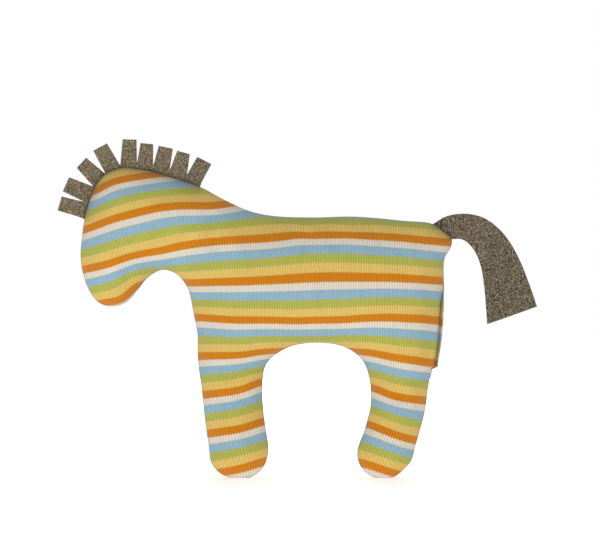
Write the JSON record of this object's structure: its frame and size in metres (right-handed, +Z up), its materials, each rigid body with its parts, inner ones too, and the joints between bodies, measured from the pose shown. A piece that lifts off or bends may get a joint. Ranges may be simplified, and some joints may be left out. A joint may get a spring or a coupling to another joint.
{
  "type": "soft toy rattle",
  "caption": "Flat stuffed horse sewn from striped rib knit, with a felt fringe mane and felt tail caught in the seam and a sealed rattle ball in the belly; legs sized for a small hand.",
  "frame": {"origin": "on the ground under the middle of the whole length, in the plane of the closing seam", "axes": "+Z up, -X toward the nose and +X toward the tail, Y through the thickness from panel to panel"},
  "size_m": [0.2202, 0.0394, 0.1555],
  "materials": {
    "knit": "fine cotton rib knit in orange, white, blue, green and yellow stripes",
    "felt": "mottled grey brown wool felt",
    "stuffing": "loose polyester fibre",
    "thread": "spun polyester thread",
    "capsule": "moulded, glued at the half lap",
    "pellets": "moulded beads"
  },
  "bodies": {
    "horse": {"back_cover": "knit", "filling_belly_back": "stuffing", "filling_belly_front": "stuffing", "filling_foreleg": "stuffing", "filling_haunch": "stuffing", "filling_head": "stuffing", "filling_hind_leg": "stuffing", "filling_neck": "stuffing", "filling_shoulder": "stuffing", "front_cover": "knit", "mane_band": "felt", "rattle_cup": "capsule", "rattle_lid": "capsule", "seam_thread": "thread", "tail_root": "felt"},
    "tab_1": {"mane_tab_1": "felt"},
    "tab_2": {"mane_tab_2": "felt"},
    "tab_3": {"mane_tab_3": "felt"},
    "tab_4": {"mane_tab_4": "felt"},
    "tab_5": {"mane_tab_5": "felt"},
    "tab_6": {"mane_tab_6": "felt"},
    "tab_7": {"mane_tab_7": "felt"},
    "tab_8": {"mane_tab_8": "felt"},
    "tab_9": {"mane_tab_9": "felt"},
    "tail": {"tail_flap": "felt"},
    "pellet_1": {"pellet_1": "pellets"},
    "pellet_2": {"pellet_2": "pellets"},
    "pellet_3": {"pellet_3": "pellets"},
    "pellet_4": {"pellet_4": "pellets"},
    "pellet_5": {"pellet_5": "pellets"}
  },
  "joints": [
    {"name": "mane_tab_1_bend", "type": "hinge", "parent": "horse", "child": "tab_1", "pos_m": [-0.10153, 0, 0.12467], "axis": [0.2872, 0, 0.9579], "range_deg": [-60, 60], "stiffness_Nm_per_rad": 0.0005},
    {"name": "mane_tab_2_bend", "type": "hinge", "parent": "horse", "child": "tab_2", "pos_m": [-0.09727, 0, 0.13174], "axis": [0.4213, 0, 0.9069], "range_deg": [-60, 60], "stiffness_Nm_per_rad": 0.0005},
    {"name": "mane_tab_3_bend", "type": "hinge", "parent": "horse", "child": "tab_3", "pos_m": [-0.09216, 0, 0.13828], "axis": [0.6792, 0, 0.734], "range_deg": [-60, 60], "stiffness_Nm_per_rad": 0.0005},
    {"name": "mane_tab_4_bend", "type": "hinge", "parent": "horse", "child": "tab_4", "pos_m": [-0.08562, 0, 0.1431], "axis": [0.889, 0, 0.458], "range_deg": [-60, 60], "stiffness_Nm_per_rad": 0.0005},
    {"name": "mane_tab_5_bend", "type": "hinge", "parent": "horse", "child": "tab_5", "pos_m": [-0.07724, 0, 0.14549], "axis": [0.9996, 0, -0.0292], "range_deg": [-60, 60], "stiffness_Nm_per_rad": 0.0005},
    {"name": "mane_tab_6_bend", "type": "hinge", "parent": "horse", "child": "tab_6", "pos_m": [-0.06935, 0, 0.14574], "axis": [0.9936, 0, -0.1126], "range_deg": [-60, 60], "stiffness_Nm_per_rad": 0.0005},
    {"name": "mane_tab_7_bend", "type": "hinge", "parent": "horse", "child": "tab_7", "pos_m": [-0.06156, 0, 0.14381], "axis": [0.9762, 0, -0.217], "range_deg": [-60, 60], "stiffness_Nm_per_rad": 0.0005},
    {"name": "mane_tab_8_bend", "type": "hinge", "parent": "horse", "child": "tab_8", "pos_m": [-0.05412, 0, 0.14174], "axis": [0.9661, 0, -0.2581], "range_deg": [-60, 60], "stiffness_Nm_per_rad": 0.0005},
    {"name": "mane_tab_9_bend", "type": "hinge", "parent": "horse", "child": "tab_9", "pos_m": [-0.04587, 0, 0.13928], "axis": [0.8886, 0, -0.4587], "range_deg": [-60, 60], "stiffness_Nm_per_rad": 0.0005},
    {"name": "tail_bend", "type": "hinge", "parent": "horse", "child": "tail", "pos_m": [0.07451, 0, 0.11553], "axis": [0, 0, 1], "range_deg": [-60, 60], "stiffness_Nm_per_rad": 0.002},
    {"name": "pellet_1_roll", "type": "hinge", "parent": "horse", "child": "pellet_1", "pos_m": [0.01221, 0, 0.091], "axis": [0, 1, 0], "continuous": true},
    {"name": "pellet_2_roll", "type": "hinge", "parent": "horse", "child": "pellet_2", "pos_m": [0.01221, 0, 0.091], "axis": [0, 1, 0], "continuous": true},
    {"name": "pellet_3_roll", "type": "hinge", "parent": "horse", "child": "pellet_3", "pos_m": [0.01221, 0, 0.091], "axis": [0, 1, 0], "continuous": true},
    {"name": "pellet_4_roll", "type": "hinge", "parent": "horse", "child": "pellet_4", "pos_m": [0.01221, 0, 0.091], "axis": [0, 1, 0], "continuous": true},
    {"name": "pellet_5_roll", "type": "hinge", "parent": "horse", "child": "pellet_5", "pos_m": [0.01221, 0, 0.091], "axis": [0, 1, 0], "continuous": true}
  ]
}
